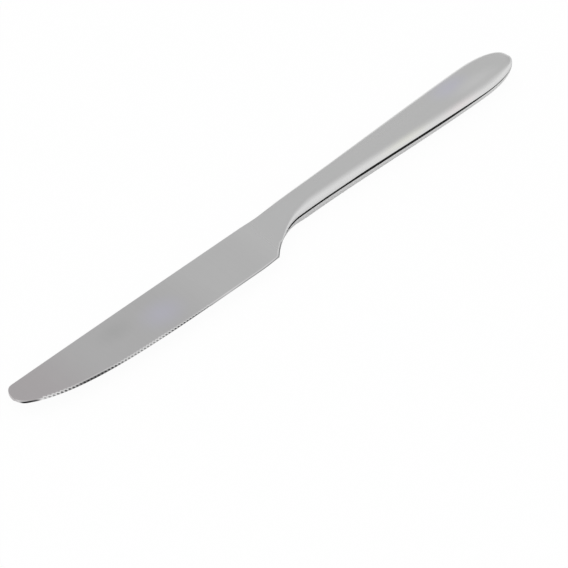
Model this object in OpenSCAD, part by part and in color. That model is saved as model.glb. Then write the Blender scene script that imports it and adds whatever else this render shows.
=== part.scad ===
// Table knife with a serrated blade and a hollow handle of two half shells.
// X runs from the tip to the butt, Y from the cutting edge to the back, Z through the thickness.
// The knife lies on its side: the flat belly of the lower shell is at Z 0.

/* [Overall] */
// Length from the tip of the blade to the butt of the handle
total_l = 220; // [205:1:235]
// Length from the tip to the corner of the heel
blade_l = 96; // [88:1:104]
// Length from the corner of the heel to the ends of the handle shells
neck_l = 11; // [10.5:0.5:14]
// Length of the concave arc from the corner of the heel to the straight of the handle
arc_l = 18; // [15:1:22]

/* [Blade] */
// Thickness of the back at the heel
back_t = 2; // [1.6:0.1:2.6]
// Thickness of the back at the tip
tip_t = 1.1; // [0.8:0.1:1.6]
// Thickness left at the cutting edge
edge_t = 0.12; // [0.08:0.02:0.2]
// Height of the ground bevel over the cutting edge
bevel_h = 1.6; // [1.2:0.1:2.4]
// Thickness where the bevel meets the flank
bevel_t = 0.5; // [0.35:0.05:0.7]
// Break of the two corners of the back
back_break = 0.2; // [0.1:0.05:0.4]
// Height of the back over the axis of the neck, at the tip
back_tip_y = 7; // [6:0.1:8]
// Height of the back over the axis of the neck, at the heel
back_heel_y = 5.1; // [4.5:0.1:5.8]
// Depth of the cutting edge under the axis of the neck
edge_y = 12.4; // [11:0.1:14]
// Rise of the cutting edge from its lowest point to the corner of the heel
heel_rise = 0.3; // [0.1:0.1:1.5]

/* [Tip] */
// Height of the foremost point over the axis of the neck
nose_y = 2.2; // [1:0.1:3]
// Height of the blunt front of the tip
nose_flat = 0.5; // [0.3:0.1:1]
// Length of the round under the foremost point
nose_l = 3; // [2:0.1:5]
// Depth of the round under the foremost point
nose_drop = 4.7; // [3:0.1:5.5]
// Length of the round over the foremost point
corner_l = 3.2; // [2:0.1:5]

/* [Serration] */
// Distance from one tooth to the next
tooth_pitch = 1.2; // [1:0.1:1.8]
// Depth of a gullet at the cutting edge
tooth_depth = 0.35; // [0.2:0.05:0.5]
// Height to which a gullet is ground up the upper flank
gullet_h = 0.9; // [0.6:0.1:1.1]
// Distance from the tip to the first tooth
tooth_from = 6; // [5:0.5:10]
// Length of the row of teeth
tooth_row_l = 60; // [40:1:65]

/* [Handle] */
// Thickness of the handle where it is thickest
handle_t = 8.4; // [7.4:0.1:9.6]
// Thickness of the handle where it is widest
butt_t = 7.6; // [6.6:0.1:8.4]
// Width of the handle behind the arc
neck_w = 8.4; // [7.6:0.1:9.2]
// Width of the handle where it is widest
butt_w = 13.5; // [12:0.1:15]
// Length of the rounded butt
butt_l = 20; // [15:1:26]
// Sideways rise of the butt's end over the line of the handle
butt_rise = 0.1; // [-1:0.1:2]
// Length behind the arc over which the handle swells to full thickness
swell_l = 6; // [4:1:10]
// Wall of the two shells
wall = 0.9; // [0.7:0.1:1.2]

/* [Seam] */
// Width of the groove between the shells
seam_w = 0.9; // [0.5:0.05:1]
// Depth of the groove between the shells
seam_d = 0.35; // [0.25:0.05:0.5]
// Depth of the braze under the surface of the handle
seam_sunk = 0.12; // [0.06:0.02:0.2]

/* [Inside] */
// Length of the tang behind the ends of the shells
tang_l = 62; // [45:1:80]
// Width of the tang
tang_w = 4; // [3.4:0.1:4.4]
// Thickness of the tang
tang_t = 1.7; // [1.4:0.1:1.8]
// Solid metal behind the cavity, at the butt
butt_solid = 6; // [5:0.5:10]
// Gap round the filler and the braze
fit_gap = 0.1; // [0.05:0.01:0.15]

/* [Hidden] */

// Places along the knife, from the tip
joint_x = blade_l + neck_l;
arc_x = blade_l + arc_l;
full_x = arc_x + swell_l;
widest_x = total_l - butt_l;
cavity_x = total_l - butt_solid;

// Section of the handle: how square its shoulders are, at the heel and behind the swelling, and
// the angles of its points, with a flat crown between the two in the middle
neck_power = 6;
square_power = 2.8;
section_angles = [0, 12, 25, 38, 51, 65, 115, 129, 142, 155, 168, 180];
crown_angle = section_angles[len(section_angles) / 2];

// Rounding of the butt, seen from above and from the side
butt_plan_power = 2.2;
butt_side_power = 2.5;
butt_end_share = 0.9995;

// Outline of the blade, as shares of the lengths and heights that it spans
back_power = 1.2;
lowest_share = 0.92;
nose_share = [[0, 0], [0, 0.6], [0.5, 0.78], [1, 1]];
belly_share = [[0, 0], [0.17, 0.91], [0.55, 0.9], [1, 1]];
heel_share = [[0, 0], [0.18, 0.37], [0.6, 0.99], [1, 1]];

// Flank of the blade
flank_share = [0.35, 0.7];
flank_power = 0.85;
tip_bevel_share = 0.3;
tip_break_share = 0.1;
heel_step_share = 0.004;

// Spread of the back's run into the handle, and the start of the swelling, as shares of the arc
back_run_share = [0.5, 1.3];
swell_from_share = 0.22;

// Flare of the handle
back_flare_share = 0.34;
flare_share = [0, 0.1, 0.91, 1];
thin_from_share = 0.42;

// Groove at the thin end of the butt, and the braze's gaps to its walls and floor
seam_tip_share = 0.4;
side_gap_share = 0.25;
floor_gap_share = 0.5;

// Solid butt: its inner edge, and the wall across the end of the cavity
inner_share = 0.5;
end_wall_l = wall;

// Numbers of steps
nose_steps = 8;
tooth_steps = 5;
plain_steps = 8;
neck_steps = 8;
arc_steps = 7;
swell_steps = 3;
flat_steps = 6;
taper_steps = 8;
butt_steps = 14;
bisections = 24;

// Step along the rim from which its slope is taken
slope_step_share = 0.00025;
slope_step = butt_l * slope_step_share;

// Middle of the knife's width, and height of its middle plane
mid_y = (back(corner_l) - edge_y) / 2;
mid_z = handle_t / 2;

// Cubic curve through four shares, and its place for a given first coordinate
function bez(p, t) =
    let (u = 1 - t)
    u ^ 3 * p[0] + 3 * t * u ^ 2 * p[1] + 3 * t ^ 2 * u * p[2] + t ^ 3 * p[3];
function bez_at(p, x, lo = 0, hi = 1, n = 0) =
    let (t = (lo + hi) / 2)
    n == bisections ? t
    : bez(p, t)[0] < x ? bez_at(p, x, t, hi, n + 1)
    : bez_at(p, x, lo, t, n + 1);
function bez_y(p, x) = bez(p, bez_at(p, x))[1];

function limit(t) = min(1, max(0, t));
function ease(t) = let (u = limit(t)) u * u * (3 - 2 * u);
function mix(a, b, t) = a + (b - a) * t;
function power(v, p) = sign(v) * abs(v) ^ p;
function reversed(list) = [for (i = [len(list) - 1:-1:0]) list[i]];

// Height of the blade's back, and of the handle's edge on that side
function back(x) = back_tip_y - (back_tip_y - back_heel_y) * (x / blade_l) ^ back_power;
function flare(x) = bez(flare_share, limit((x - full_x) / (widest_x - full_x)));
function handle_back(x) = neck_w / 2 + (butt_w - neck_w) * back_flare_share * flare(x);
function handle_front(x) = -neck_w / 2 - (butt_w - neck_w) * (1 - back_flare_share) * flare(x);
back_run_xs = [for (q = back_run_share) blade_l + arc_l * q];
function back_run(x) = ease((x - back_run_xs[0]) / (back_run_xs[1] - back_run_xs[0]));
function long_back(x) = mix(back(x), handle_back(x), back_run(x));

// Heel arc, and the edge of the neck and the handle that it leads to
function heel_arc(x) =
    mix(heel_rise - edge_y, handle_front(arc_x), bez_y(heel_share, (x - blade_l) / arc_l));
function long_front(x) = x < arc_x ? heel_arc(x) : handle_front(x);

// Rounding of the butt: 1 where it starts, close to 0 at its end
function butt_at(x) = limit((x - widest_x) / butt_l);
function butt_round(x, p) = (1 - (butt_at(x) * butt_end_share) ^ p) ^ (1 / p);
function centre(x) = (long_back(x) + long_front(x)) / 2 + butt_rise * butt_at(x) ^ 2;
function half_w(x) = (long_back(x) - long_front(x)) / 2 * butt_round(x, butt_plan_power);

// Half thickness of the neck and the handle
thin_x = mix(full_x, widest_x, thin_from_share);
swell_x = blade_l + arc_l * swell_from_share;
function full_h(x) =
    x < thin_x ? mix(back_t, handle_t, ease((x - swell_x) / (full_x - swell_x))) / 2
    : mix(handle_t, butt_t, limit((x - thin_x) / (widest_x - thin_x))) / 2;
function half_h(x) = full_h(x) * butt_round(x, butt_side_power);
function square(x) = mix(neck_power, square_power, ease((x - blade_l) / (full_x - blade_l)));

// Upper and lower outline of the blade
function corner(x) = let (t = 1 - limit(x / corner_l)) 1 - sqrt(1 - t * t);
function top(x) = long_back(x) - corner(x) * (back(0) - nose_y - nose_flat / 2);
lowest_x = blade_l * lowest_share;
function under_nose(x) = nose_y - nose_flat / 2 - (nose_drop - nose_flat) * bez_y(nose_share, x / nose_l);
function belly(x) =
    mix(under_nose(nose_l), -edge_y, bez_y(belly_share, (x - nose_l) / (lowest_x - nose_l)));
function near_heel(x) = -edge_y + heel_rise * ((x - lowest_x) / (blade_l - lowest_x)) ^ 2;
function bottom(x) =
    x < nose_l ? under_nose(x)
    : x < lowest_x ? belly(x)
    : x < blade_l ? near_heel(x)
    : long_front(x);

// Rings of points that the solids are lofted through. Each goes up one side and back down the other,
// so that point i faces its mirror point, counted from the other end.

// One side of the handle's section, from its front edge to its back edge
function lip(h) = min(seam_w / 2, h * seam_tip_share);
function side(w, h, p) = [
    for (a = section_angles)
        [-w * power(cos(a), 2 / p), max(lip(h), h * power(min(1, sin(a) / sin(crown_angle)), 2 / p))]
];
function at(x, y, one) = [for (p = one) [x, y + p[0], p[1]]];
function mirrored(points) = [for (p = reversed(points)) [p[0], p[1], -p[2]]];
function ring(x, y, one) = concat(at(x, y, one), mirrored(at(x, y, one)));

// Half thickness of the blade's plate at a height over the cutting edge
function back_half(x) = mix(tip_t, back_t, limit(x / blade_l)) / 2;
function plate(x, low, high, y, bevel) =
    mix(bevel_t / 2, back_half(x), limit((y - low - bevel) / (high - low - bevel)) ^ flank_power);

// Blade, with a gullet of depth 0 to 1 ground into its upper flank
function blade_ring(x, gullet) =
    let (low = bottom(x), high = top(x), tall = high - low)
    let (bevel = min(bevel_h, tall * tip_bevel_share), cut = min(back_break, tall * tip_break_share))
    let (flank = [for (q = flank_share) [x, low + q * tall, plate(x, low, high, low + q * tall, bevel)]])
    let (one = concat(
        [[x, low + bevel, bevel_t / 2]],
        flank,
        [[x, high - cut, back_half(x)], [x, high, back_half(x) - cut]]))
    concat(
        [[x, low + gullet_h * gullet, edge_t / 2]],
        one,
        mirrored(one),
        [[x, low + tooth_depth * gullet, -edge_t / 2]]);

// Neck, which turns from the blade's plate into the handle's section
function neck_ring(x) =
    let (low = bottom(x), high = top(x), turn = ease((x - blade_l) / neck_l))
    let (oval = side(1, half_h(x), square(x)), last = len(section_angles) - 1)
    ring(x, 0, [
        for (i = [0:last])
            let (y = mix(low, high, mix(i / last, (1 + oval[i][0]) / 2, turn)))
            [y, mix(plate(x, heel_rise - edge_y, back(blade_l), y, bevel_h), oval[i][1], turn)]
    ]);

core_gap = wall + fit_gap;
tang_y = centre(joint_x + tang_l / 2);
tang_end_x = joint_x + tang_l;
tang_h = min(tang_t / 2, half_h(joint_x) - core_gap);
function tang_ring(x, gap) = ring(x, tang_y, side(tang_w / 2 + gap, tang_h + gap, square_power));

// Places of the rings
tooth_count = floor(tooth_row_l / tooth_pitch);
tooth_end_x = tooth_from + tooth_count * tooth_pitch;
heel_step_x = blade_l * (1 - heel_step_share);
nose_rings = [for (i = [0:nose_steps]) blade_ring(nose_l * (1 - cos(90 * i / nose_steps)), 0)];
tooth_rings = [
    for (i = [0:tooth_count * tooth_steps])
        let (phase = (i % tooth_steps) / tooth_steps)
        blade_ring(tooth_from + i * tooth_pitch / tooth_steps, 1 - (2 * phase - 1) ^ 2)
];
plain_rings = [for (i = [1:plain_steps]) blade_ring(mix(tooth_end_x, heel_step_x, i / plain_steps), 0)];
neck_rings = [for (i = [0:neck_steps]) neck_ring(blade_l + neck_l * i / neck_steps)];
handle_xs = concat(
    [for (i = [0:arc_steps - 1]) mix(joint_x, arc_x, i / arc_steps)],
    [for (i = [0:swell_steps - 1]) mix(arc_x, full_x, i / swell_steps)],
    [for (i = [0:flat_steps - 1]) mix(full_x, thin_x, i / flat_steps)],
    [for (i = [0:taper_steps - 1]) mix(thin_x, widest_x, i / taper_steps)],
    [for (i = [0:butt_steps]) widest_x + butt_l * sin(90 * i / butt_steps)]);

// Solid lofted through rings. A ring has as many points as the one before it, or more.
module loft(rings) {
    starts = [for (i = 0, n = 0; i < len(rings); n = n + len(rings[i]), i = i + 1) n];
    function cap(start, n) = [
        for (i = [0:n / 2 - 2])
            [start + i, start + i + 1, start + n - 2 - i, start + n - 1 - i]
    ];
    function flipped(faces) = [for (f = faces) reversed(f)];
    last = len(rings) - 1;
    skin = [
        for (r = [0:last - 1])
            let (m = len(rings[r]), n = len(rings[r + 1]), a = starts[r], b = starts[r + 1])
            for (j = [0:n - 1])
                let (k = floor(j * m / n), k2 = floor((j + 1) * m / n) % m, j2 = (j + 1) % n)
                let (one = [b + j, a + k, b + j2], other = [a + k, a + k2, b + j2])
                for (f = k == k2 ? [one] : [one, other])
                    f
    ];
    polyhedron(
        points = [for (r = rings) for (p = r) p],
        faces = concat(flipped(cap(starts[0], len(rings[0]))), skin, cap(starts[last], len(rings[last]))));
}

// The knife's own place: middle of its length and width, flat belly of the handle at Z 0
module placed() {
    translate([-total_l / 2, -mid_y, mid_z])
        children();
}

// Blade, neck and tang, one forging
module blade() {
    color("silver")
        placed()
            loft(concat(nose_rings, tooth_rings, plain_rings, neck_rings,
                [tang_ring(joint_x, 0), tang_ring(tang_end_x, 0)]));
}

// Upper half of the handle: outer face, groove for the braze along its rim, cavity inside
function rim(x, s) = centre(x) + s * half_w(x);
function rim_slope(x, s) = (rim(x, s) - rim(x - slope_step, s)) / slope_step;
function rim_normal(x, s) = let (d = rim_slope(x, s)) [-s * d, 1] / sqrt(1 + d * d);
function rim_point(x, s, depth, z) =
    let (n = rim_normal(x, s), in = min(depth, half_w(x) * seam_tip_share))
    [max(joint_x, x - depth * max(0, n[0])), rim(x, s) - s * in * mix(1, n[1], butt_at(x)), z];
function half_ring(x, hollow) =
    let (w = half_w(x), h = half_h(x), y = centre(x), p = square(x))
    let (outer = at(x, y, side(w, h, p)))
    let (inner = at(x, y, side(hollow ? w - wall : w * inner_share, hollow ? h - wall : 0, p)))
    concat(
        [rim_point(x, -1, seam_d, 0)],
        outer,
        [rim_point(x, 1, seam_d, 0)],
        [[x, inner[len(inner) - 1][1], 0]],
        reversed(inner),
        [[x, inner[0][1], 0]]);

cavity_xs = concat([for (x = handle_xs) if (x < cavity_x - end_wall_l) x], [cavity_x - end_wall_l]);
solid_xs = concat([cavity_x], [for (x = handle_xs) if (x > cavity_x + end_wall_l) x]);

module half_shell() {
    loft(concat([for (x = cavity_xs) half_ring(x, true)], [for (x = solid_xs) half_ring(x, false)]));
}

module upper_handle_shell() {
    color("gainsboro")
        placed()
            half_shell();
}

module lower_handle_shell() {
    color("lightgray")
        placed()
            mirror([0, 0, 1])
                half_shell();
}

// Setting cement between the tang and the shells
function core_ring(x) = ring(x, centre(x), side(half_w(x) - core_gap, half_h(x) - core_gap, square(x)));
filler_from = arc_x;
filler_to = cavity_x - end_wall_l - fit_gap;
filler_xs = concat(
    [filler_from],
    [for (x = handle_xs) if (x > filler_from && x < filler_to - end_wall_l) x],
    [filler_to]);

module handle_filler() {
    color("tan")
        placed()
            loft(concat(
                [tang_ring(tang_end_x + fit_gap, fit_gap), tang_ring(filler_from, fit_gap)],
                [for (x = filler_xs) core_ring(x)]));
}

// Braze in the groove, from the neck along the front rim, round the butt and back along the other rim
side_gap = fit_gap * side_gap_share;
braze_d = seam_d - fit_gap * floor_gap_share;
function braze_half(x, depth) = max(side_gap, lip(half_h(x)) * (1 - depth / seam_d) - side_gap);
function braze_ring(x, s) = [
    rim_point(x, s, seam_sunk, braze_half(x, seam_sunk)),
    rim_point(x, s, braze_d, braze_half(x, braze_d)),
    rim_point(x, s, braze_d, -braze_half(x, braze_d)),
    rim_point(x, s, seam_sunk, -braze_half(x, seam_sunk))
];

module braze_seam() {
    color("dimgray")
        placed()
            loft(concat(
                [for (x = handle_xs) braze_ring(x, -1)],
                [for (x = reversed(handle_xs)) braze_ring(x, 1)]));
}

blade();
upper_handle_shell();
lower_handle_shell();
handle_filler();
braze_seam();
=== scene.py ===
import math

import bmesh
import bpy
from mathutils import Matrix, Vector


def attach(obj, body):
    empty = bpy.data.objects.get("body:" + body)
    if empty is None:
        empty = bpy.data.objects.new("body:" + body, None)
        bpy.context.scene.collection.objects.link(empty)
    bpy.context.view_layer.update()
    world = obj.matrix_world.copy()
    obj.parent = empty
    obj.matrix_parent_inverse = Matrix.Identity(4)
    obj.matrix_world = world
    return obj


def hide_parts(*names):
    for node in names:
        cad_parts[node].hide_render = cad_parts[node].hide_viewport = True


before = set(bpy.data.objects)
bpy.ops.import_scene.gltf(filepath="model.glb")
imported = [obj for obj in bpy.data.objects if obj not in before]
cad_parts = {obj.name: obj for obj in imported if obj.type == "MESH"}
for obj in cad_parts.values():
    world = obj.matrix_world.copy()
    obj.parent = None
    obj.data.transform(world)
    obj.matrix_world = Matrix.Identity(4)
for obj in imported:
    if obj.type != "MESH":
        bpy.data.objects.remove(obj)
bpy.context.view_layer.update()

# Sizes in millimetres, as the maker gives them; meshes are made in metres.
# The knife lies on its side: x runs from the tip to the butt, y from the edge to the back, z up.
MM = 0.001
TOTAL_L = 220.0
BLADE_L = 96.0
NECK_L = 11.0
ARC_L = 18.0
SWELL_L = 6.0
BUTT_L = 20.0
JOINT_X = BLADE_L + NECK_L
ARC_X = BLADE_L + ARC_L
FULL_X = ARC_X + SWELL_L
WIDEST_X = TOTAL_L - BUTT_L
THIN_SHARE, SWELL_SHARE = 0.42, 0.22
THIN_X = FULL_X + (WIDEST_X - FULL_X) * THIN_SHARE
SWELL_X = BLADE_L + ARC_L * SWELL_SHARE

# Blade
BACK_T, TIP_T = 2.0, 1.1
EDGE_T = 0.12
BEVEL_H, BEVEL_T = 1.6, 0.5
BEVEL_SHARE, BREAK_SHARE = 0.3, 0.1
FLANK_CROWN = 0.85
BACK_BREAK = 0.2
BACK_TIP_Y, BACK_HEEL_Y, BACK_BEND = 7.0, 5.1, 1.2
BACK_TURN_FROM, BACK_TURN_TO = BLADE_L + ARC_L * 0.5, BLADE_L + ARC_L * 1.3
EDGE_Y = 12.4
HEEL_RISE = 0.3
NOSE_Y, NOSE_FLAT = 2.2, 0.5
NOSE_L, NOSE_DROP = 3.0, 4.7
CORNER_L = 3.2
LOWEST_SHARE = 0.92
LOWEST_X = BLADE_L * LOWEST_SHARE
ARC_ROUND, ARC_ROUND_RUN, ARC_ROUND_SHARE = 0.28, 2.5, 0.9

# Serration
TOOTH_PITCH = 1.2
TOOTH_DEPTH = 0.35
GULLET_H, GULLET_SHARE = 0.9, 0.9
TOOTH_FROM = 6.0
TOOTH_COUNT = 50
TOOTH_TO = TOOTH_FROM + TOOTH_COUNT * TOOTH_PITCH

# Handle
HANDLE_T, BUTT_T = 8.4, 7.6
NECK_W, BUTT_W = 8.4, 13.5
BUTT_RISE = 0.1
BACK_FLARE = 0.34
WALL = 0.9
BUTT_SOLID = 6.0
CAVITY_X = TOTAL_L - BUTT_SOLID
CAVITY_GAP = 0.3
NECK_POWER, SQUARE_POWER = 6.0, 2.8
CROWN_ANGLE, CROWN_BLEND = 65, 0.06
CROWN_SINE = math.sin(math.radians(CROWN_ANGLE))
PLAN_POWER, SIDE_POWER = 2.2, 2.5
BUTT_END = 0.9995
INNER_SHARE = 0.5

# Joint line between the shells: half widths, depth, and where it widens along the handle and fades
SEAM_HALF = 0.45
SEAM_HAIR = 0.06
SEAM_D = 0.35
SEAM_TIP = 0.4
SEAM_FROM = 101.0
SEAM_WIDENS_X, SEAM_WIDENS_L = 105.0, 3.5
SEAM_MIDDLE, SEAM_MIDDLE_X, SEAM_MIDDLE_L = 0.6, 132.0, 14.0
SEAM_FADE_X, SEAM_FADE_L, SEAM_FADE = 176.0, 38.0, 0.3
INLAY_PROUD, INLAY_D, INLAY_RISE = 0.015, 0.08, 1.0

# Tang, and the step over which a slope is taken
TANG_L, TANG_W, TANG_T, TANG_SIDE = 62.0, 4.0, 1.7, 0.05
SLOPE_STEP = 0.005

# Painted light on the ground edge: places from the tip, and for each how much a painted dark
# reflection along the edge, painted dark reflections in the gullets and a painted highlight on the
# ridge over them show, and how tall the line is
EDGE_LOOK = (
    (0.2, 0, 0, 0.5, 0.2), (0.9, 1, 0, 0.6, 0.35), (2.4, 1, 0, 0.2, 0.4), (4.3, 0.75, 0, 0, 0.35),
    (5.4, 0, 0.3, 0.7, 0.1), (9.5, 0, 0.65, 0.8, 0.1), (12, 0.1, 0.85, 0.7, 0.2),
    (16, 0.5, 0.9, 0.4, 0.4), (18.5, 0.8, 1, 0.3, 0.6), (25, 0.78, 1, 0.3, 0.6),
    (29, 0.4, 0.95, 0.4, 0.3), (33, 0.15, 0.65, 0.6, 0.1), (46, 0.1, 0.5, 0.7, 0.1),
    (52, 0.25, 0.9, 0.5, 0.1), (56, 0.4, 1, 0.4, 0.1), (60, 0.65, 1, 0.3, 0.15),
    (64, 0.65, 0.6, 0.45, 0.15), (68, 0.4, 0, 0.5, 0.15), (74, 0.35, 0, 0.6, 0.15),
    (80, 0.5, 0, 0.5, 0.15), (93, 0.55, 0, 0.5, 0.15), (95.7, 0.6, 0, 0.4, 0.15))
PLAIN_LOOK = (9.0, 0.0, 0.0)
LINE_FADE, GULLET_MORE = 0.25, 0.55
RIDGE_H, RIDGE_FADE = 0.25, 0.45

# Painted light on the rim of the neck's arc: a painted dark reflection on its lower edge and a
# painted highlight on its upper one
RIM_FROM, RIM_RUN = 95.7, 0.6
RIM_PAINTED_DARK, RIM_PAINTED_DARK_TO = 0.75, 102.0
RIM_PAINTED_HIGHLIGHT, RIM_PAINTED_HIGHLIGHT_TO = 0.5, 104.5
RIM_FADE_RUN = 2.0
RIM_SPLIT, RIM_WALL, RIM_FACE = 0.6, 0.4, 0.6
RIM_LINE, WALL_FROM, WALL_RUN = 0.2, 100.7, 1.5

# Outline curves, as shares of what they span
NOSE_CURVE = ((0, 0), (0, 0.6), (0.5, 0.78), (1, 1))
BELLY_CURVE = ((0, 0), (0.17, 0.91), (0.55, 0.9), (1, 1))
HEEL_CURVE = ((0, 0), (0.18, 0.37), (0.6, 0.99), (1, 1))
FLARE_CURVE = (0, 0.1, 0.91, 1)
HALVINGS = 30

# Points up one side of a section
BEVEL_STEPS = (0, 0.06, 0.14, 0.24, 0.4, 0.6, 0.8, 1)
FLANK_STEPS = tuple(i / 22 for i in range(1, 22))
BREAK_STEPS = (0, 0.25, 0.5, 0.75, 0.92, 1)
SIDE_POINTS = len(BEVEL_STEPS) + len(FLANK_STEPS) + len(BREAK_STEPS)
ANGLE_STEPS, OVAL_LONG = 2000, 1.3

# Faces of the joint line's strip: share of its depth or height, and share of its half width
BRAZE_FACE = ((0.05, 0.93), (0.12, 0.5), (0.15, 0), (0.12, -0.5), (0.05, -0.93))
BRAZE_ROOT = ((0.9, -0.08), (0.9, 0.08))
INLAY_FACE = ((0.4, 1), (1, 0.6), (1, 0), (1, -0.6), (0.4, -1))
INLAY_ROOT = (-0.6, 0.6)

# Numbers of sections along the knife
NOSE_RINGS, CHIN_RINGS, TOOTH_RINGS, PLAIN_RINGS, NECK_RINGS = 14, 8, 10, 40, 44
INLAY_RINGS, BUTT_RINGS = 24, 40
HANDLE_RINGS = (
    (JOINT_X, ARC_X, 30), (ARC_X, FULL_X, 16), (FULL_X, THIN_X, 20), (THIN_X, WIDEST_X, 24))
ARC_POINTS = 80

# Cleaning of a mesh, in metres and degrees
WELD, SLIVER, SHARP_ANGLE = 1e-6, 1e-7, 28

# Camera, floor and sky, in metres
CAMERA_AT = (-0.43586, -0.39856, 0.51898)
AIM_AT = (-0.02206, -0.0186, 0.0042)
LENS, SENSOR = 161.62, 36.0
CLIP_NEAR, CLIP_FAR = 0.01, 20.0
FLOOR_HALF = 4.0
PAPER, GLOW = (0.94, 0.94, 0.94), (1.0, 1.0, 1.0)
GLOW_SEEN, GLOW_MIRRORED = 0.95, 0.97
GLOW_FROM_Y, GLOW_TO_Y = -0.002, -0.012
SKY_GREY, SKY_PALE, SKY_EVEN = (0.641, 0.641, 0.641), (0.92, 0.92, 0.92), (0.9, 0.9, 0.9)
PALE_NEAR, PALE_FAR, PALE_HIGH = -0.5, -0.2, 0.85

# Lamps: azimuth and elevation in degrees, distance and size in metres, power in watts
LAMPS = {"side_box": (-115, 42, 1.3, 0.9, 1.0), "top_box": (150, 60, 1.4, 0.9, 1.4)}

# Steel tones, each with the stretch along the knife, in metres from its middle, where it comes in
TIP_TONE = (0.575, 0.55, 0.558)
BLADE_TONES = (
    ((0.62, 0.617, 0.619), -0.104, -0.08),
    ((0.672, 0.672, 0.672), -0.056, -0.034),
    ((0.7, 0.7, 0.7), -0.022, -0.012))
JOINT_TONE, JOINT_FROM, JOINT_TO = (0.69, 0.69, 0.692), -0.014, -0.0035
HANDLE_TONES = (((0.705, 0.705, 0.703), 0.0, 0.04),)

# Soft patches: tone, centre and radius in metres, stretch; most are tones of the steel, the neck's
# darker one is painted shade and the handle's pale one by the butt a painted highlight
BLADE_PATCHES = {
    "lilac": ((0.645, 0.64, 0.71), (-0.056, -0.001, 0.005), 0.011, (1.0, 0.7, 1.0)),
    # painted shade on the slope where the neck rises from the blade into the handle
    "neck_ramp_painted_shade": ((0.655, 0.655, 0.655), (0.0, 0.003, 0.005), 0.006, (1.0, 0.6, 1.0)),
    "dull_front": ((0.58, 0.58, 0.58), (-0.071, 0.0035, 0.005), 0.009, (1.0, 0.6, 1.0))}
HANDLE_PATCHES = {
    "lilac": ((0.7, 0.695, 0.77), (0.0804, 0.003, 0.008), 0.012, (1.0, 0.5, 1.0)),
    "straw": ((0.745, 0.745, 0.695), (0.0505, -0.0035, 0.0068), 0.018, (1.0, 0.14, 0.14)),
    "pink": ((0.77, 0.715, 0.72), (0.077, -0.0055, 0.0067), 0.014, (1.0, 0.22, 0.22)),
    # a darker patch at the very end of the butt
    "darker_butt_tip": ((0.57, 0.57, 0.573), (0.1095, -0.0015, 0.005), 0.0055, (1.0, 1.0, 1.0)),
    # painted highlight: a pale streak along the top of the handle just before the butt
    "butt_painted_highlight": ((0.775, 0.775, 0.775), (0.0885, -0.001, 0.0075), 0.016, (1.0, 0.25, 0.25))}

# Grain, handling marks, hairlines and gloss of the steel
BLADE_GRAIN, HANDLE_GRAIN = (5200, 260, 2600), (240, 4200, 4200)
FINE_DETAIL, WIDE_SCALE, WIDE_DETAIL = 4.0, 0.22, 2.0
GRAIN_STRENGTH, GRAIN_DEPTH, GRAIN_TONE = 0.12, 0.00002, 0.035
MARK_SCALE, MARK_DETAIL, MARK_FROM, MARK_TO, MARK_ROUGH = 60.0, 3.0, 0.35, 0.65, 0.025
HAIR_SCALE, HAIR_DETAIL, HAIR_FROM, HAIR_TO, HAIR_ROUGH = 900.0, 1.0, 0.66, 0.72, 0.03
HAIR_TURN, HAIR_SHAPE = (0.0, 0.0, 0.5), (0.06, 1.0, 0.3)
BLADE_ROUGH, HANDLE_ROUGH = 0.3, 0.24
# Colours of the painted highlight and the painted dark reflection on the ground edge, and the
# metallic value under the painted highlight
EDGE_PAINTED_HIGHLIGHT, EDGE_SHADE, EDGE_METAL = (1.0, 1.0, 1.0), (0.02, 0.02, 0.022), 0.4

# Braze, with its paler end round the butt
BRAZE_TONE, BRAZE_WORN = (0.006, 0.006, 0.006), (0.014, 0.013, 0.013)
BRAZE_END_TONE, BRAZE_END_FROM, BRAZE_END_TO = (0.3, 0.3, 0.3), 0.1, 0.108
BRAZE_MARKS, BRAZE_ROUGH, BRAZE_ROUGHER, BRAZE_GLOSS = 1500.0, 0.5, 0.7, 0.05
BRAZE_PITS, BRAZE_PIT_D = 0.4, 0.00003

# Setting cement
CEMENT_DARK, CEMENT_PALE = (0.28, 0.22, 0.15), (0.42, 0.35, 0.26)
GRIT_SCALE, GRIT_DETAIL, GRIT_FROM, GRIT_TO = 2600.0, 6.0, 0.3, 0.7
CEMENT_ROUGH, CEMENT_ROUGHER = 0.82, 0.96
PORE_SCALE, PORE_STRENGTH, PORE_D = 1400.0, 0.6, 0.0001


def mix(a, b, t):
    return a + (b - a) * t


def limit(t):
    return min(1.0, max(0.0, t))


def ease(t):
    """Share of the way with a soft start and a soft end."""
    t = limit(t)
    return t * t * (3 - 2 * t)


def root(v, p):
    """A power that keeps the sign."""
    return math.copysign(abs(v) ** p, v)


def bez(p, t):
    """A value on the curve that four values steer, at a share of the way."""
    u = 1 - t
    return u ** 3 * p[0] + 3 * t * u * u * p[1] + 3 * t * t * u * p[2] + t ** 3 * p[3]


def bez_y(curve, x):
    """Height of a curve at a place along it."""
    xs, ys = [p[0] for p in curve], [p[1] for p in curve]
    low, high = 0.0, 1.0
    for _ in range(HALVINGS):
        t = (low + high) / 2
        if bez(xs, t) < x:
            low = t
        else:
            high = t
    return bez(ys, low)


# Outline of the knife, seen from above

def back(x):
    return BACK_TIP_Y - (BACK_TIP_Y - BACK_HEEL_Y) * (x / BLADE_L) ** BACK_BEND


def flare(x):
    """How far the handle has widened, from 0 behind the neck to 1 at its widest place."""
    return bez(FLARE_CURVE, limit((x - FULL_X) / (WIDEST_X - FULL_X)))


def handle_back(x):
    return NECK_W / 2 + (BUTT_W - NECK_W) * BACK_FLARE * flare(x)


def handle_front(x):
    return -NECK_W / 2 - (BUTT_W - NECK_W) * (1 - BACK_FLARE) * flare(x)


def long_back(x):
    """The back of blade and handle in one line, before the tip and the butt are rounded."""
    turn = ease((x - BACK_TURN_FROM) / (BACK_TURN_TO - BACK_TURN_FROM))
    return mix(back(x), handle_back(x), turn)


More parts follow.
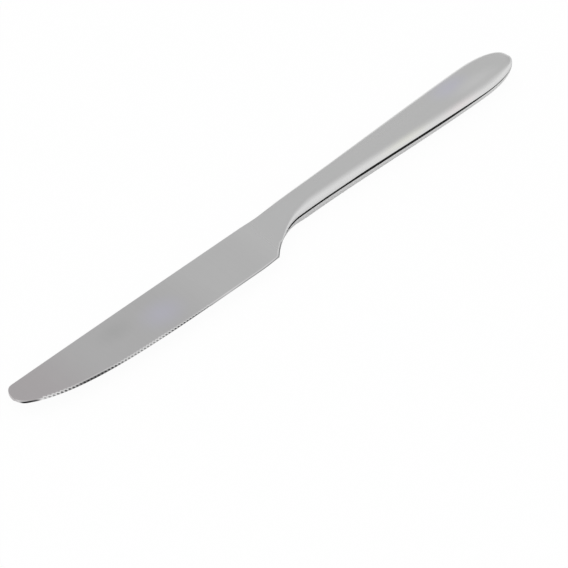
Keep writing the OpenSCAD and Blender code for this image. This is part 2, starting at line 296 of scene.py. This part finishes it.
def long_front(x):
    """The front from the heel on: the arc of the neck, and then the handle."""
    if x >= ARC_X:
        return handle_front(x)
    rise = bez_y(HEEL_CURVE, (x - BLADE_L) / ARC_L)
    return mix(HEEL_RISE - EDGE_Y, handle_front(ARC_X), rise)


def butt_at(x):
    """Share of the way through the rounded butt."""
    return limit((x - WIDEST_X) / BUTT_L)


def butt_round(x, p):
    """Share of the full width or thickness that is left in the rounded butt."""
    return (1 - (butt_at(x) * BUTT_END) ** p) ** (1 / p)


def centre(x):
    """Middle of the handle's width."""
    return (long_back(x) + long_front(x)) / 2 + BUTT_RISE * butt_at(x) ** 2


def half_w(x):
    return (long_back(x) - long_front(x)) / 2 * butt_round(x, PLAN_POWER)


def half_h(x):
    """Half the handle's thickness, which swells behind the neck and thins toward the butt."""
    if x < THIN_X:
        full = mix(BACK_T, HANDLE_T, ease((x - SWELL_X) / (FULL_X - SWELL_X)))
    else:
        full = mix(HANDLE_T, BUTT_T, limit((x - THIN_X) / (WIDEST_X - THIN_X)))
    return full / 2 * butt_round(x, SIDE_POWER)


def square(x):
    """How square the section's shoulders are: more at the neck than along the handle."""
    return mix(NECK_POWER, SQUARE_POWER, ease((x - BLADE_L) / (FULL_X - BLADE_L)))


def top(x):
    """The back's outline, rounded at the tip."""
    t = 1 - limit(x / CORNER_L)
    corner = 1 - math.sqrt(1 - t * t)
    return long_back(x) - corner * (back(0) - NOSE_Y - NOSE_FLAT / 2)


def under_nose(x):
    return NOSE_Y - NOSE_FLAT / 2 - (NOSE_DROP - NOSE_FLAT) * bez_y(NOSE_CURVE, x / NOSE_L)


def bottom(x):
    """The front's outline: nose, bellied cutting edge, heel and arc of the neck."""
    if x < NOSE_L:
        return under_nose(x)
    if x < LOWEST_X:
        drop = bez_y(BELLY_CURVE, (x - NOSE_L) / (LOWEST_X - NOSE_L))
        return mix(under_nose(NOSE_L), -EDGE_Y, drop)
    if x < BLADE_L:
        return -EDGE_Y + HEEL_RISE * ((x - LOWEST_X) / (BLADE_L - LOWEST_X)) ** 2
    return long_front(x)


MID_Y = (back(CORNER_L) - EDGE_Y) / 2
MID_Z = HANDLE_T / 2


# Sections

def even_angles(count):
    """Angles that space the points of the squared oval evenly."""
    angles = [math.pi * i / ANGLE_STEPS for i in range(ANGLE_STEPS + 1)]
    power = 2 / SQUARE_POWER
    oval = [(OVAL_LONG * root(math.cos(a), power), root(math.sin(a), power)) for a in angles]
    run = [0.0]
    for p, q in zip(oval, oval[1:]):
        run.append(run[-1] + math.dist(p, q))
    picked, k = [], 0
    for i in range(count):
        want = run[-1] * i / (count - 1)
        while k < ANGLE_STEPS and run[k] < want:
            k += 1
        picked.append(angles[k])
    return picked


ANGLES = even_angles(SIDE_POINTS)


def soft_min(a, b, k):
    """The lower of two values, with their meeting rounded over a height."""
    h = max(k - abs(a - b), 0) / k
    return min(a, b) - h * h * k / 4


def lip(x, h):
    """Half the width of the joint line, which starts as a hair on the arc and thins at the butt."""
    wide = mix(SEAM_HAIR, SEAM_HALF, ease((x - SEAM_WIDENS_X) / SEAM_WIDENS_L))
    wide += (SEAM_MIDDLE - SEAM_HALF) * ease((x - SEAM_MIDDLE_X) / SEAM_MIDDLE_L)
    wide *= mix(1, SEAM_FADE, ease((x - SEAM_FADE_X) / SEAM_FADE_L))
    return min(wide, h * SEAM_TIP)


def side(w, h, low, power):
    """Half of the handle's section, from its front edge over its crown to its back edge."""
    points = []
    for a in ANGLES:
        rise = soft_min(root(max(0.0, math.sin(a)) / CROWN_SINE, 2 / power), 1, CROWN_BLEND)
        points.append((-w * root(math.cos(a), 2 / power), max(low, h * rise)))
    return points


def plate(x, y, low, high, bevel):
    """Half the blade's thickness over its bevel, tapered to the tip and down to the bevel."""
    thick = mix(TIP_T, BACK_T, limit(x / BLADE_L)) / 2
    share = limit((y - low - bevel) / (high - low - bevel))
    return mix(BEVEL_T / 2, thick, share ** FLANK_CROWN)


def rounded(z, inward, radius):
    """Height of a face where its corner is rounded, at a distance inward from the wall."""
    if radius <= 0 or inward >= radius:
        return z
    return z - radius + math.sqrt(max(0.0, radius ** 2 - (radius - inward) ** 2))


def blade_side(x, gullet):
    """Upper half of the blade's section, from its edge to its back."""
    low, high = bottom(x), top(x)
    tall = high - low
    bevel, cut = min(BEVEL_H, tall * BEVEL_SHARE), min(BACK_BREAK, tall * BREAK_SHARE)
    ground = min(GULLET_H, bevel * GULLET_SHARE) * gullet
    ys = [mix(low + ground, low + bevel, s) for s in BEVEL_STEPS]
    zs = [mix(EDGE_T / 2, BEVEL_T / 2, s) for s in BEVEL_STEPS]
    start, end = low + bevel, high - cut
    for s in FLANK_STEPS:
        ys.append(mix(start, end, s))
        zs.append(plate(x, ys[-1], low, high, bevel))
    for s in BREAK_STEPS:
        ys.append(mix(end, high, s))
        zs.append(rounded(plate(x, ys[-1], low, high, bevel), high - ys[-1], cut))
    return list(zip(ys, zs))


def neck_side(x):
    """Upper half of the neck's section, which turns from the plate into the handle's oval."""
    low, high = bottom(x), top(x)
    turn = ease((x - BLADE_L) / NECK_L)
    heel = blade_side(BLADE_L, 0)
    foot, tall = heel[0][0], heel[-1][0] - heel[0][0]
    radius = ARC_ROUND * limit((x - BLADE_L) / ARC_ROUND_RUN)
    oval = side(1, half_h(x), lip(x, half_h(x)), square(x))
    points = []
    for (hy, _), (oy, oz) in zip(heel, oval):
        y = mix(low, high, mix((hy - foot) / tall, (1 + oy) / 2, turn))
        z = plate(x, y, HEEL_RISE - EDGE_Y, back(BLADE_L), BEVEL_H)
        z = rounded(rounded(z, high - y, BACK_BREAK), y - low, min(radius, z * ARC_ROUND_SHARE))
        points.append((y, mix(z, oz, turn)))
    return points


def blade_ring(x, gullet):
    """Section of the blade; its gullet is ground from the upper face only."""
    upper = [(x, y, z) for y, z in blade_side(x, gullet)]
    lower = [(x, y, -z) for y, z in blade_side(x, 0)]
    lower[0] = (x, bottom(x) + TOOTH_DEPTH * gullet, -EDGE_T / 2)
    return upper + lower[::-1]


def neck_ring(x):
    """Section of the neck, the same above and below."""
    upper = [(x, y, z) for y, z in neck_side(x)]
    return upper + [(x, y, -z) for _, y, z in upper[::-1]]


def tang_ring(x):
    """Section of the tang, in the middle of the handle."""
    y = centre(JOINT_X + TANG_L / 2)
    half = side(TANG_W / 2, TANG_T / 2, TANG_SIDE, SQUARE_POWER)
    upper = [(x, y + a, b) for a, b in half]
    return upper + [(x, q, -z) for _, q, z in upper[::-1]]


def rim(x, s):
    """The handle's outline: its back for a side of 1, its front for -1."""
    return centre(x) + s * half_w(x)


def rim_point(x, s, depth, z):
    """A point at a depth inside the handle's outline, square to it."""
    slope = (rim(x, s) - rim(x - SLOPE_STEP, s)) / SLOPE_STEP
    long = math.sqrt(1 + slope * slope)
    normal_x, normal_y = -s * slope / long, 1 / long
    inward = min(depth, half_w(x) * SEAM_TIP)
    return (max(JOINT_X, x - depth * max(0.0, normal_x)),
            rim(x, s) - s * inward * mix(1, normal_y, butt_at(x)), z)


def groove_depth(x):
    """The groove is shallower where the joint line is thin."""
    return SEAM_D * lip(x, HANDLE_T) / SEAM_HALF


def shell_ring(x, hollow, up):
    """Section of a half shell: groove, outer face, groove and inner face."""
    w, h, y, power = half_w(x), half_h(x), centre(x), square(x)
    outer = [(x, y + a, b) for a, b in side(w, h, lip(x, h), power)]
    if hollow:
        inner = [(x, y + a, b) for a, b in side(w - WALL, h - WALL, 0, power)]
    else:
        inner = [(x, y + a, 0) for a, _ in side(w * INNER_SHARE, 0, 0, power)]
    deep = groove_depth(x)
    ring = [rim_point(x, -1, deep, 0)] + outer + [rim_point(x, 1, deep, 0)]
    ring += [(x, inner[-1][1], 0)] + inner[::-1] + [(x, inner[0][1], 0)]
    return [(px, py, pz * up) for px, py, pz in ring]


def braze_ring(x, s):
    """The braze fills the groove with a slightly hollow face, close to its two lips."""
    wide, deep = lip(x, half_h(x)), groove_depth(x)
    return [rim_point(x, s, deep * d, wide * z) for d, z in BRAZE_FACE + BRAZE_ROOT]


def inlay_ring(x):
    """The line's thin start on the arc of the neck, flush with its wall."""
    wide = lip(x, half_h(x))
    slope = (bottom(x + SLOPE_STEP) - bottom(x)) / SLOPE_STEP
    long = math.sqrt(1 + slope * slope)

    def point(out, z):
        return (x + out * slope / long, bottom(x) - out / long, z)

    proud = INLAY_PROUD * limit((x - SEAM_FROM) / INLAY_RISE)
    face = [point(proud * out, wide * z) for out, z in INLAY_FACE]
    return face + [point(-INLAY_D, wide * z) for z in INLAY_ROOT]


# Places of the sections along the knife

def spread(a, b, count):
    """Even places from one to just before another."""
    return [mix(a, b, i / count) for i in range(count)]


def handle_places():
    """Places of the shells' sections, closest together at the end of the butt."""
    places = [x for start, end, count in HANDLE_RINGS for x in spread(start, end, count)]
    turns = [math.pi / 2 * i / BUTT_RINGS for i in range(BUTT_RINGS + 1)]
    return places + [WIDEST_X + BUTT_L * math.sin(turn) for turn in turns]


HANDLE_XS = handle_places()


def gullet_at(x):
    """Depth of the gullet at a place, from 0 on a tooth to 1 in the middle between two."""
    place = (x - TOOTH_FROM) / TOOTH_PITCH
    if place <= 0 or place >= TOOTH_COUNT:
        return 0.0
    return 1 - (2 * (place % 1) - 1) ** 2


def blade_rings():
    """Sections from the tip to the handle, closest together over the teeth."""
    places = [NOSE_L * (1 - math.cos(math.pi / 2 * i / NOSE_RINGS)) for i in range(NOSE_RINGS)]
    places += spread(NOSE_L, TOOTH_FROM, CHIN_RINGS)
    places += spread(TOOTH_FROM, TOOTH_TO, TOOTH_COUNT * TOOTH_RINGS)
    places += spread(TOOTH_TO, BLADE_L, PLAIN_RINGS)
    neck = spread(BLADE_L, JOINT_X, NECK_RINGS) + [JOINT_X]
    return [blade_ring(x, gullet_at(x)) for x in places] + [neck_ring(x) for x in neck]


# Painted dark reflections and painted highlights on the ground edge and on the arc's rim

def over_edge(x, y):
    """Distance of a place on the blade from its cutting edge."""
    slope = (bottom(x + SLOPE_STEP) - bottom(x)) / SLOPE_STEP
    return (y - bottom(x)) / math.sqrt(1 + slope * slope)


def edge_look(x, y):
    """Height over the painted dark line on the ground edge, and how much painted dark reflection
    and painted highlight show there.
    """
    after = next(i for i, knot in enumerate(EDGE_LOOK) if knot[0] > x)
    start, end = EDGE_LOOK[after - 1], EDGE_LOOK[after]
    t = (x - start[0]) / (end[0] - start[0])
    line, gullets, ridge, tall = (mix(a, b, t) for a, b in zip(start[1:], end[1:]))
    gullet = gullet_at(x)
    height = over_edge(x, y) - tall - GULLET_MORE * gullet * (1 - line)
    return height, max(line, gullets * gullet), ridge


def arc_line():
    """Points along the arc of the neck, closest together where it starts."""
    places = [BLADE_L + NECK_L * (i / ARC_POINTS) ** 2 for i in range(ARC_POINTS + 1)]
    return [(x, bottom(x)) for x in places]


ARC_LINE = arc_line()


def rim_look(x, y, z):
    """The same painted dark reflection and painted highlight for the rim of the arc, where the
    height runs up its wall and over its face.
    """
    share = z / max(z for _, z in neck_side(x)[:len(BEVEL_STEPS)])
    starts = ease((x - RIM_FROM) / RIM_RUN)
    inside = min(math.hypot(x - px, y - py) for px, py in ARC_LINE)
    on_wall = (share + RIM_SPLIT) * RIM_WALL + inside * RIM_FACE
    height = mix(inside - RIM_LINE, on_wall, ease((x - WALL_FROM) / WALL_RUN))
    dark = RIM_PAINTED_DARK * (1 - ease((x - RIM_PAINTED_DARK_TO) / RIM_FADE_RUN))
    bright = RIM_PAINTED_HIGHLIGHT * starts * (1 - ease((x - RIM_PAINTED_HIGHLIGHT_TO) / RIM_FADE_RUN))
    return height, dark * starts, bright


def shown_look(x, y, z):
    """The painted dark reflection and painted highlight at any point of the forging; the blade's
    underside stays plain.
    """
    if x <= EDGE_LOOK[0][0] or x >= JOINT_X:
        return PLAIN_LOOK
    if x >= EDGE_LOOK[-1][0]:
        return rim_look(x, y, z)
    return edge_look(x, y) if z >= -EDGE_T else PLAIN_LOOK


# Pieces

def in_metres(x, y, z):
    return Vector((x - TOTAL_L / 2, y - MID_Y, z + MID_Z)) * MM


def in_millimetres(co):
    return co.x / MM + TOTAL_L / 2, co.y / MM + MID_Y, co.z / MM - MID_Z


def solid(name, rings):
    """A solid lofted through rings with equal numbers of points."""
    n = len(rings[0])
    points = [in_metres(*point) for ring in rings for point in ring]
    faces = []
    for r in range(len(rings) - 1):
        a, b = r * n, (r + 1) * n
        faces += [(a + j, a + (j + 1) % n, b + (j + 1) % n, b + j) for j in range(n)]
    for start, turned in ((0, True), ((len(rings) - 1) * n, False)):
        for i in range(n // 2 - 1):
            quad = (start + i, start + i + 1, start + n - 2 - i, start + n - 1 - i)
            faces.append(quad[::-1] if turned else quad)
    mesh = bpy.data.meshes.new(name)
    mesh.from_pydata(points, [], faces)
    clean(mesh)
    piece = bpy.data.objects.new(name, mesh)
    bpy.context.scene.collection.objects.link(piece)
    return piece


def clean(mesh):
    """Joins doubled points, turns all faces outward and shades them smooth up to a sharp angle."""
    bm = bmesh.new()
    bm.from_mesh(mesh)
    bmesh.ops.remove_doubles(bm, verts=bm.verts, dist=WELD)
    bmesh.ops.dissolve_degenerate(bm, dist=SLIVER, edges=bm.edges)
    bmesh.ops.recalc_face_normals(bm, faces=bm.faces)
    bm.to_mesh(mesh)
    bm.free()
    mesh.shade_smooth()
    mesh.set_sharp_from_angle(angle=math.radians(SHARP_ANGLE))


def mark_edge(mesh):
    """Keeps the painted dark reflections and painted highlights of the ground edge and the arc's
    rim on each point, for the blade's finish to read.
    """
    looks = [shown_look(*in_millimetres(v.co)) for v in mesh.vertices]
    for name, values in zip(("edge_height", "edge_painted_dark", "edge_painted_highlight"), zip(*looks)):
        mesh.attributes.new(name, "FLOAT", "POINT").data.foreach_set("value", values)


def blade_forging():
    """Blade, neck and tang in one piece."""
    rings = blade_rings() + [tang_ring(JOINT_X), tang_ring(JOINT_X + TANG_L)]
    piece = solid("blade_forging", rings)
    mark_edge(piece.data)
    piece.data.materials.append(blade_steel())
    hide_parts("blade")
    return piece


def handle_shell(name, node, up, steel):
    """Half shell, hollow up to the solid butt; up is 1 for the upper one and -1 for the lower."""
    hollow_to = CAVITY_X - WALL
    rings = [shell_ring(x, True, up) for x in HANDLE_XS if x < hollow_to]
    rings += [shell_ring(hollow_to, True, up), shell_ring(CAVITY_X, False, up)]
    rings += [shell_ring(x, False, up) for x in HANDLE_XS if x > CAVITY_X + CAVITY_GAP]
    piece = solid(name, rings)
    piece.data.materials.append(steel)
    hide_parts(node)
    return piece


def braze_line():
    """The joint line: along the front, round the butt and back along the back."""
    rings = [inlay_ring(x) for x in spread(SEAM_FROM, JOINT_X, INLAY_RINGS)]
    rings += [braze_ring(x, -1) for x in HANDLE_XS]
    rings += [braze_ring(x, 1) for x in HANDLE_XS[-2::-1]]
    piece = solid("braze_line", rings)
    piece.data.materials.append(dark_braze())
    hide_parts("braze_seam")
    return piece


# Finishes

def new_group(name, inputs, outputs):
    """A shader group with its sockets, and its two end nodes."""
    group = bpy.data.node_groups.new(name, "ShaderNodeTree")
    for label, kind, value in inputs:
        socket = group.interface.new_socket(label, in_out="INPUT", socket_type=kind)
        socket.default_value = value
    for label, kind in outputs:
        group.interface.new_socket(label, in_out="OUTPUT", socket_type=kind)
    return group, group.nodes.new("NodeGroupInput"), group.nodes.new("NodeGroupOutput")


def add(tree, kind, **settings):
    node = tree.nodes.new(kind)
    for key, value in settings.items():
        setattr(node, key, value)
    return node


def wire(tree, value, socket):
    """Feeds a socket from another node's output, or gives it a number, a vector or a colour."""
    if isinstance(value, bpy.types.NodeSocket):
        tree.links.new(value, socket)
    elif socket.type == "RGBA":
        socket.default_value = (*value, 1.0)
    else:
        socket.default_value = value


def sums(tree, operation, *values):
    node = add(tree, "ShaderNodeMath", operation=operation)
    for value, socket in zip(values, node.inputs):
        wire(tree, value, socket)
    return node.outputs[0]


def vector_sums(tree, operation, *values):
    node = add(tree, "ShaderNodeVectorMath", operation=operation)
    for value, socket in zip(values, node.inputs):
        wire(tree, value, socket)
    return node


def span(tree, value, from_a, from_b, to_a, to_b):
    """Soft passage from one value to another while a third runs from one place to the next."""
    node = add(tree, "ShaderNodeMapRange", interpolation_type="SMOOTHSTEP")
    labels = ("Value", "From Min", "From Max", "To Min", "To Max")
    for label, given in zip(labels, (value, from_a, from_b, to_a, to_b)):
        wire(tree, given, node.inputs[label])
    return node.outputs["Result"]


def noise(tree, place, scale, detail):
    node = add(tree, "ShaderNodeTexNoise")
    for label, given in (("Vector", place), ("Scale", scale), ("Detail", detail)):
        wire(tree, given, node.inputs[label])
    return node.outputs["Fac"]


def bump(tree, shader, height, strength, distance):
    node = add(tree, "ShaderNodeBump")
    for label, given in (("Height", height), ("Strength", strength), ("Distance", distance)):
        wire(tree, given, node.inputs[label])
    wire(tree, node.outputs["Normal"], shader.inputs["Normal"])


def place_of(tree):
    return add(tree, "ShaderNodeTexCoord").outputs["Object"]


def axes_of(tree, place):
    parts = add(tree, "ShaderNodeSeparateXYZ")
    wire(tree, place, parts.inputs[0])
    return parts.outputs


def grain_group():
    """Fine lines left by the belt: long along one direction, close together across it."""
    group, start, end = new_group(
        "belt_grain",
        [("Lines", "NodeSocketVector", HANDLE_GRAIN)],
        [("Grain", "NodeSocketFloat")])
    place = vector_sums(group, "MULTIPLY", place_of(group), start.outputs["Lines"]).outputs[0]
    fine = noise(group, place, 1.0, FINE_DETAIL)
    wide = noise(group, place, WIDE_SCALE, WIDE_DETAIL)
    both = sums(group, "ADD", fine, wide)
    wire(group, sums(group, "SUBTRACT", both, 1.0), end.inputs["Grain"])
    return group


def wear_group():
    """Soft handling marks and hairline scratches."""
    group, start, end = new_group(
        "handling_wear",
        [("Marks", "NodeSocketFloat", MARK_SCALE), ("Scratches", "NodeSocketFloat", HAIR_SCALE)],
        [("Rubbed", "NodeSocketFloat"), ("Hairlines", "NodeSocketFloat")])
    place = place_of(group)
    soft = noise(group, place, start.outputs["Marks"], MARK_DETAIL)
    wire(group, span(group, soft, MARK_FROM, MARK_TO, -1.0, 1.0), end.inputs["Rubbed"])
    turned = add(group, "ShaderNodeMapping")
    for label, given in (("Vector", place), ("Rotation", HAIR_TURN), ("Scale", HAIR_SHAPE)):
        wire(group, given, turned.inputs[label])
    lines = noise(group, turned.outputs["Vector"], start.outputs["Scratches"], HAIR_DETAIL)
    wire(group, span(group, lines, HAIR_FROM, HAIR_TO, 0.0, 1.0), end.inputs["Hairlines"])
    return group


def along_group():
    """Share of the way between two places along the knife, in metres."""
    group, start, end = new_group(
        "along_the_knife",
        [("From", "NodeSocketFloat", 0.0), ("To", "NodeSocketFloat", 1.0)],
        [("Share", "NodeSocketFloat")])
    x = axes_of(group, place_of(group))["X"]
    share = span(group, x, start.outputs["From"], start.outputs["To"], 0.0, 1.0)
    wire(group, share, end.inputs["Share"])
    return group


def patch_group():
    """Soft round patch: 1 at its centre, 0 at its rim; sizes in metres."""
    group, start, end = new_group(
        "soft_patch",
        [("Centre", "NodeSocketVector", (0, 0, 0)), ("Radius", "NodeSocketFloat", 0.01),
         ("Stretch", "NodeSocketVector", (1, 1, 1))],
        [("Share", "NodeSocketFloat")])
    offset = vector_sums(group, "SUBTRACT", place_of(group), start.outputs["Centre"])
    shaped = vector_sums(group, "DIVIDE", offset.outputs[0], start.outputs["Stretch"])
    far = vector_sums(group, "LENGTH", shaped.outputs[0]).outputs["Value"]
    wire(group, span(group, far, 0.0, start.outputs["Radius"], 1.0, 0.0), end.inputs["Share"])
    return group


GROUPS = {}


def placed_group(tree, make, **values):
    """A group's node in a finish; the group itself is made once."""
    if make not in GROUPS:
        GROUPS[make] = make()
    node = add(tree, "ShaderNodeGroup", node_tree=GROUPS[make])
    for label, value in values.items():
        node.inputs[label].default_value = value
    return node


def new_finish(name):
    finish = bpy.data.materials.new(name)
    finish.use_nodes = True
    tree = finish.node_tree
    return finish, tree, tree.nodes["Principled BSDF"]


def tinted(tree, colour, other, share):
    """Colour that turns into another by a share."""
    node = add(tree, "ShaderNodeMix", data_type="RGBA")
    for label, value in (("A", colour), ("B", other)):
        wire(tree, value, next(s for s in node.inputs if s.name == label and s.type == "RGBA"))
    wire(tree, share, node.inputs["Factor"])
    return next(s for s in node.outputs if s.type == "RGBA")


def share_along(tree, start, end):
    return placed_group(tree, along_group, From=start, To=end).outputs["Share"]


def toned(tree, colour, tones):
    """A colour that turns into others along the knife."""
    for tone, start, end in tones:
        colour = tinted(tree, colour, tone, share_along(tree, start, end))
    return colour


def patched(tree, colour, patches):
    """A colour with soft patches of others in it."""
    for tone, centre, radius, stretch in patches.values():
        patch = placed_group(tree, patch_group, Centre=centre, Radius=radius, Stretch=stretch)
        colour = tinted(tree, colour, tone, patch.outputs["Share"])
    return colour


def steel_finish(tree, shader, colour, roughness, lines):
    """Grain, handling marks and hairlines, which all steel faces share."""
    wire(tree, 1.0, shader.inputs["Metallic"])
    grain = placed_group(tree, grain_group, Lines=lines).outputs["Grain"]
    wear = placed_group(tree, wear_group)
    grained = add(tree, "ShaderNodeVectorMath", operation="SCALE")
    wire(tree, colour, grained.inputs[0])
    wire(tree, sums(tree, "MULTIPLY_ADD", grain, GRAIN_TONE, 1.0), grained.inputs["Scale"])
    wire(tree, grained.outputs[0], shader.inputs["Base Color"])
    marked = sums(tree, "MULTIPLY_ADD", wear.outputs["Rubbed"], MARK_ROUGH, roughness)
    lined = sums(tree, "MULTIPLY_ADD", wear.outputs["Hairlines"], HAIR_ROUGH, marked)
    wire(tree, lined, shader.inputs["Roughness"])
    bump(tree, shader, grain, GRAIN_STRENGTH, GRAIN_DEPTH)


def kept_value(tree, name):
    """A value that mark_edge keeps on the mesh."""
    return add(tree, "ShaderNodeAttribute", attribute_name=name).outputs["Fac"]


def blade_steel():
    """Satin blade, ground across its width, darker and a little warmer at the tip, with painted
    dark reflections and painted highlights on its ground edge and the arc's rim, and a patch of
    painted shade on the neck.
    """
    finish, tree, shader = new_finish("blade_steel")
    colour = patched(tree, toned(tree, TIP_TONE, BLADE_TONES), BLADE_PATCHES)
    height = kept_value(tree, "edge_height")
    # Painted highlight on the ridge over the ground edge; painted dark reflection along the edge,
    # in its gullets and on the arc's rim
    pale = span(tree, height, RIDGE_H, RIDGE_H + RIDGE_FADE, 1.0, 0.0)
    pale = sums(tree, "MULTIPLY", pale, kept_value(tree, "edge_painted_highlight"))
    dark = span(tree, height, 0.0, LINE_FADE, 1.0, 0.0)
    dark = sums(tree, "MULTIPLY", dark, kept_value(tree, "edge_painted_dark"))
    colour = tinted(tree, colour, EDGE_PAINTED_HIGHLIGHT, pale)
    colour = tinted(tree, colour, EDGE_SHADE, dark)
    joint = share_along(tree, JOINT_FROM, JOINT_TO)
    colour = tinted(tree, colour, JOINT_TONE, joint)
    rough = span(tree, joint, 0.0, 1.0, BLADE_ROUGH, HANDLE_ROUGH)
    steel_finish(tree, shader, colour, rough, BLADE_GRAIN)
    # Metallic drops under the painted highlight, so that it shows as a pale glint
    shine = sums(tree, "SUBTRACT", pale, dark)
    wire(tree, span(tree, shine, 0.0, 1.0, 1.0, EDGE_METAL), shader.inputs["Metallic"])
    return finish


def handle_steel():
    """Smooth satin handle, grained along its length."""
    finish, tree, shader = new_finish("handle_steel")
    colour = patched(tree, toned(tree, JOINT_TONE, HANDLE_TONES), HANDLE_PATCHES)
    steel_finish(tree, shader, colour, HANDLE_ROUGH, HANDLE_GRAIN)
    return finish


def dark_braze():
    """Dark joint line, dull and slightly pitted."""
    finish, tree, shader = new_finish("dark_braze")
    rubbed = placed_group(tree, wear_group, Marks=BRAZE_MARKS).outputs["Rubbed"]
    colour = tinted(tree, BRAZE_TONE, BRAZE_WORN, rubbed)
    butt = share_along(tree, BRAZE_END_FROM, BRAZE_END_TO)
    wire(tree, tinted(tree, colour, BRAZE_END_TONE, butt), shader.inputs["Base Color"])
    rough = span(tree, rubbed, -1.0, 1.0, BRAZE_ROUGH, BRAZE_ROUGHER)
    wire(tree, rough, shader.inputs["Roughness"])
    wire(tree, BRAZE_GLOSS, shader.inputs["Specular IOR Level"])
    bump(tree, shader, rubbed, BRAZE_PITS, BRAZE_PIT_D)
    return finish


def set_cement():
    """Matt cement, sandy and porous."""
    finish, tree, shader = new_finish("set_cement")
    place = place_of(tree)
    grit = noise(tree, place, GRIT_SCALE, GRIT_DETAIL)
    wire(tree, tinted(tree, CEMENT_DARK, CEMENT_PALE, grit), shader.inputs["Base Color"])
    rough = span(tree, grit, GRIT_FROM, GRIT_TO, CEMENT_ROUGH, CEMENT_ROUGHER)
    wire(tree, rough, shader.inputs["Roughness"])
    pores = add(tree, "ShaderNodeTexVoronoi")
    wire(tree, place, pores.inputs["Vector"])
    wire(tree, PORE_SCALE, pores.inputs["Scale"])
    bump(tree, shader, pores.outputs["Distance"], PORE_STRENGTH, PORE_D)
    return finish


# Stage

def cleared(owner):
    """The emptied node tree of a finish or a world."""
    owner.use_nodes = True
    owner.node_tree.nodes.clear()
    return owner.node_tree


def white_floor():
    """White paper; it glows for the camera, and for the steel on the knife's near side."""
    finish = bpy.data.materials.new("white_floor")
    tree = cleared(finish)
    paper = add(tree, "ShaderNodeBsdfDiffuse")
    wire(tree, PAPER, paper.inputs["Color"])
    glow = add(tree, "ShaderNodeEmission")
    wire(tree, GLOW, glow.inputs["Color"])
    path = add(tree, "ShaderNodeLightPath")
    y = axes_of(tree, place_of(tree))["Y"]
    near = span(tree, y, GLOW_FROM_Y, GLOW_TO_Y, 0.0, GLOW_MIRRORED)
    mirrored = sums(tree, "MULTIPLY", path.outputs["Is Glossy Ray"], near)
    direct = sums(tree, "MULTIPLY", path.outputs["Is Camera Ray"], GLOW_SEEN)
    both = add(tree, "ShaderNodeMixShader")
    wire(tree, sums(tree, "MAXIMUM", direct, mirrored), both.inputs["Fac"])
    wire(tree, paper.outputs[0], both.inputs[1])
    wire(tree, glow.outputs[0], both.inputs[2])
    wire(tree, both.outputs[0], add(tree, "ShaderNodeOutputMaterial").inputs["Surface"])
    return finish


def make_floor():
    signs = ((-1, -1), (1, -1), (1, 1), (-1, 1))
    corners = [(x * FLOOR_HALF, y * FLOOR_HALF, 0) for x, y in signs]
    mesh = bpy.data.meshes.new("floor")
    mesh.from_pydata(corners, [], [(0, 1, 2, 3)])
    floor = bpy.data.objects.new("floor", mesh)
    floor.data.materials.append(white_floor())
    bpy.context.scene.collection.objects.link(floor)


def shown_rays(tree):
    """1 where the camera, a reflection or glass looks at the background."""
    path = add(tree, "ShaderNodeLightPath")
    seen = sums(tree, "MAXIMUM", path.outputs["Is Camera Ray"], path.outputs["Is Glossy Ray"])
    return sums(tree, "MAXIMUM", seen, path.outputs["Is Transmission Ray"])


def make_world():
    """Grey overhead and paler on the near side, for what is seen; an even light for the rest."""
    world = bpy.data.worlds.new("studio")
    bpy.context.scene.world = world
    tree = cleared(world)
    axes = axes_of(tree, add(tree, "ShaderNodeTexCoord").outputs["Generated"])
    near = span(tree, axes["Y"], PALE_NEAR, PALE_FAR, 1.0, 0.0)
    low = span(tree, axes["Z"], 0.0, PALE_HIGH, 1.0, 0.0)
    sky = tinted(tree, SKY_GREY, SKY_PALE, sums(tree, "MULTIPLY", near, low))
    light = add(tree, "ShaderNodeBackground")
    wire(tree, tinted(tree, SKY_EVEN, sky, shown_rays(tree)), light.inputs["Color"])
    wire(tree, light.outputs[0], add(tree, "ShaderNodeOutputWorld").inputs["Surface"])


def soft_lamp(name, azimuth, elevation, distance, size, power):
    """A square soft box that faces the middle of the knife."""
    data = bpy.data.lights.new(name, "AREA")
    data.shape = "SQUARE"
    data.size = size
    data.energy = power
    lamp = bpy.data.objects.new(name, data)
    a, e = math.radians(azimuth), math.radians(elevation)
    toward = Vector((math.cos(a) * math.cos(e), math.sin(a) * math.cos(e), math.sin(e)))
    lamp.location = toward * distance
    lamp.rotation_euler = toward.to_track_quat("Z", "Y").to_euler()
    bpy.context.scene.collection.objects.link(lamp)


def make_lamps():
    for name, values in LAMPS.items():
        soft_lamp(name, *values)


def make_camera():
    data = bpy.data.cameras.new("camera")
    data.lens = LENS
    data.sensor_width = SENSOR
    data.clip_start = CLIP_NEAR
    data.clip_end = CLIP_FAR
    camera = bpy.data.objects.new("camera", data)
    camera.location = CAMERA_AT
    look = Vector(AIM_AT) - Vector(CAMERA_AT)
    camera.rotation_euler = look.to_track_quat("-Z", "Y").to_euler()
    bpy.context.scene.collection.objects.link(camera)
    bpy.context.scene.camera = camera


def finish_filler():
    """The cement keeps its own solid and gets its finish."""
    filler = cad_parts["handle_filler"]
    filler.data.materials.clear()
    filler.data.materials.append(set_cement())


def build():
    make_camera()
    make_floor()
    make_world()
    make_lamps()
    steel = handle_steel()
    pieces = [
        blade_forging(),
        handle_shell("upper_shell", "upper_handle_shell", 1, steel),
        handle_shell("lower_shell", "lower_handle_shell", -1, steel),
        braze_line(),
    ]
    for piece in pieces:
        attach(piece, "root")
    finish_filler()
    bpy.context.scene.view_settings.view_transform = "Standard"


build()
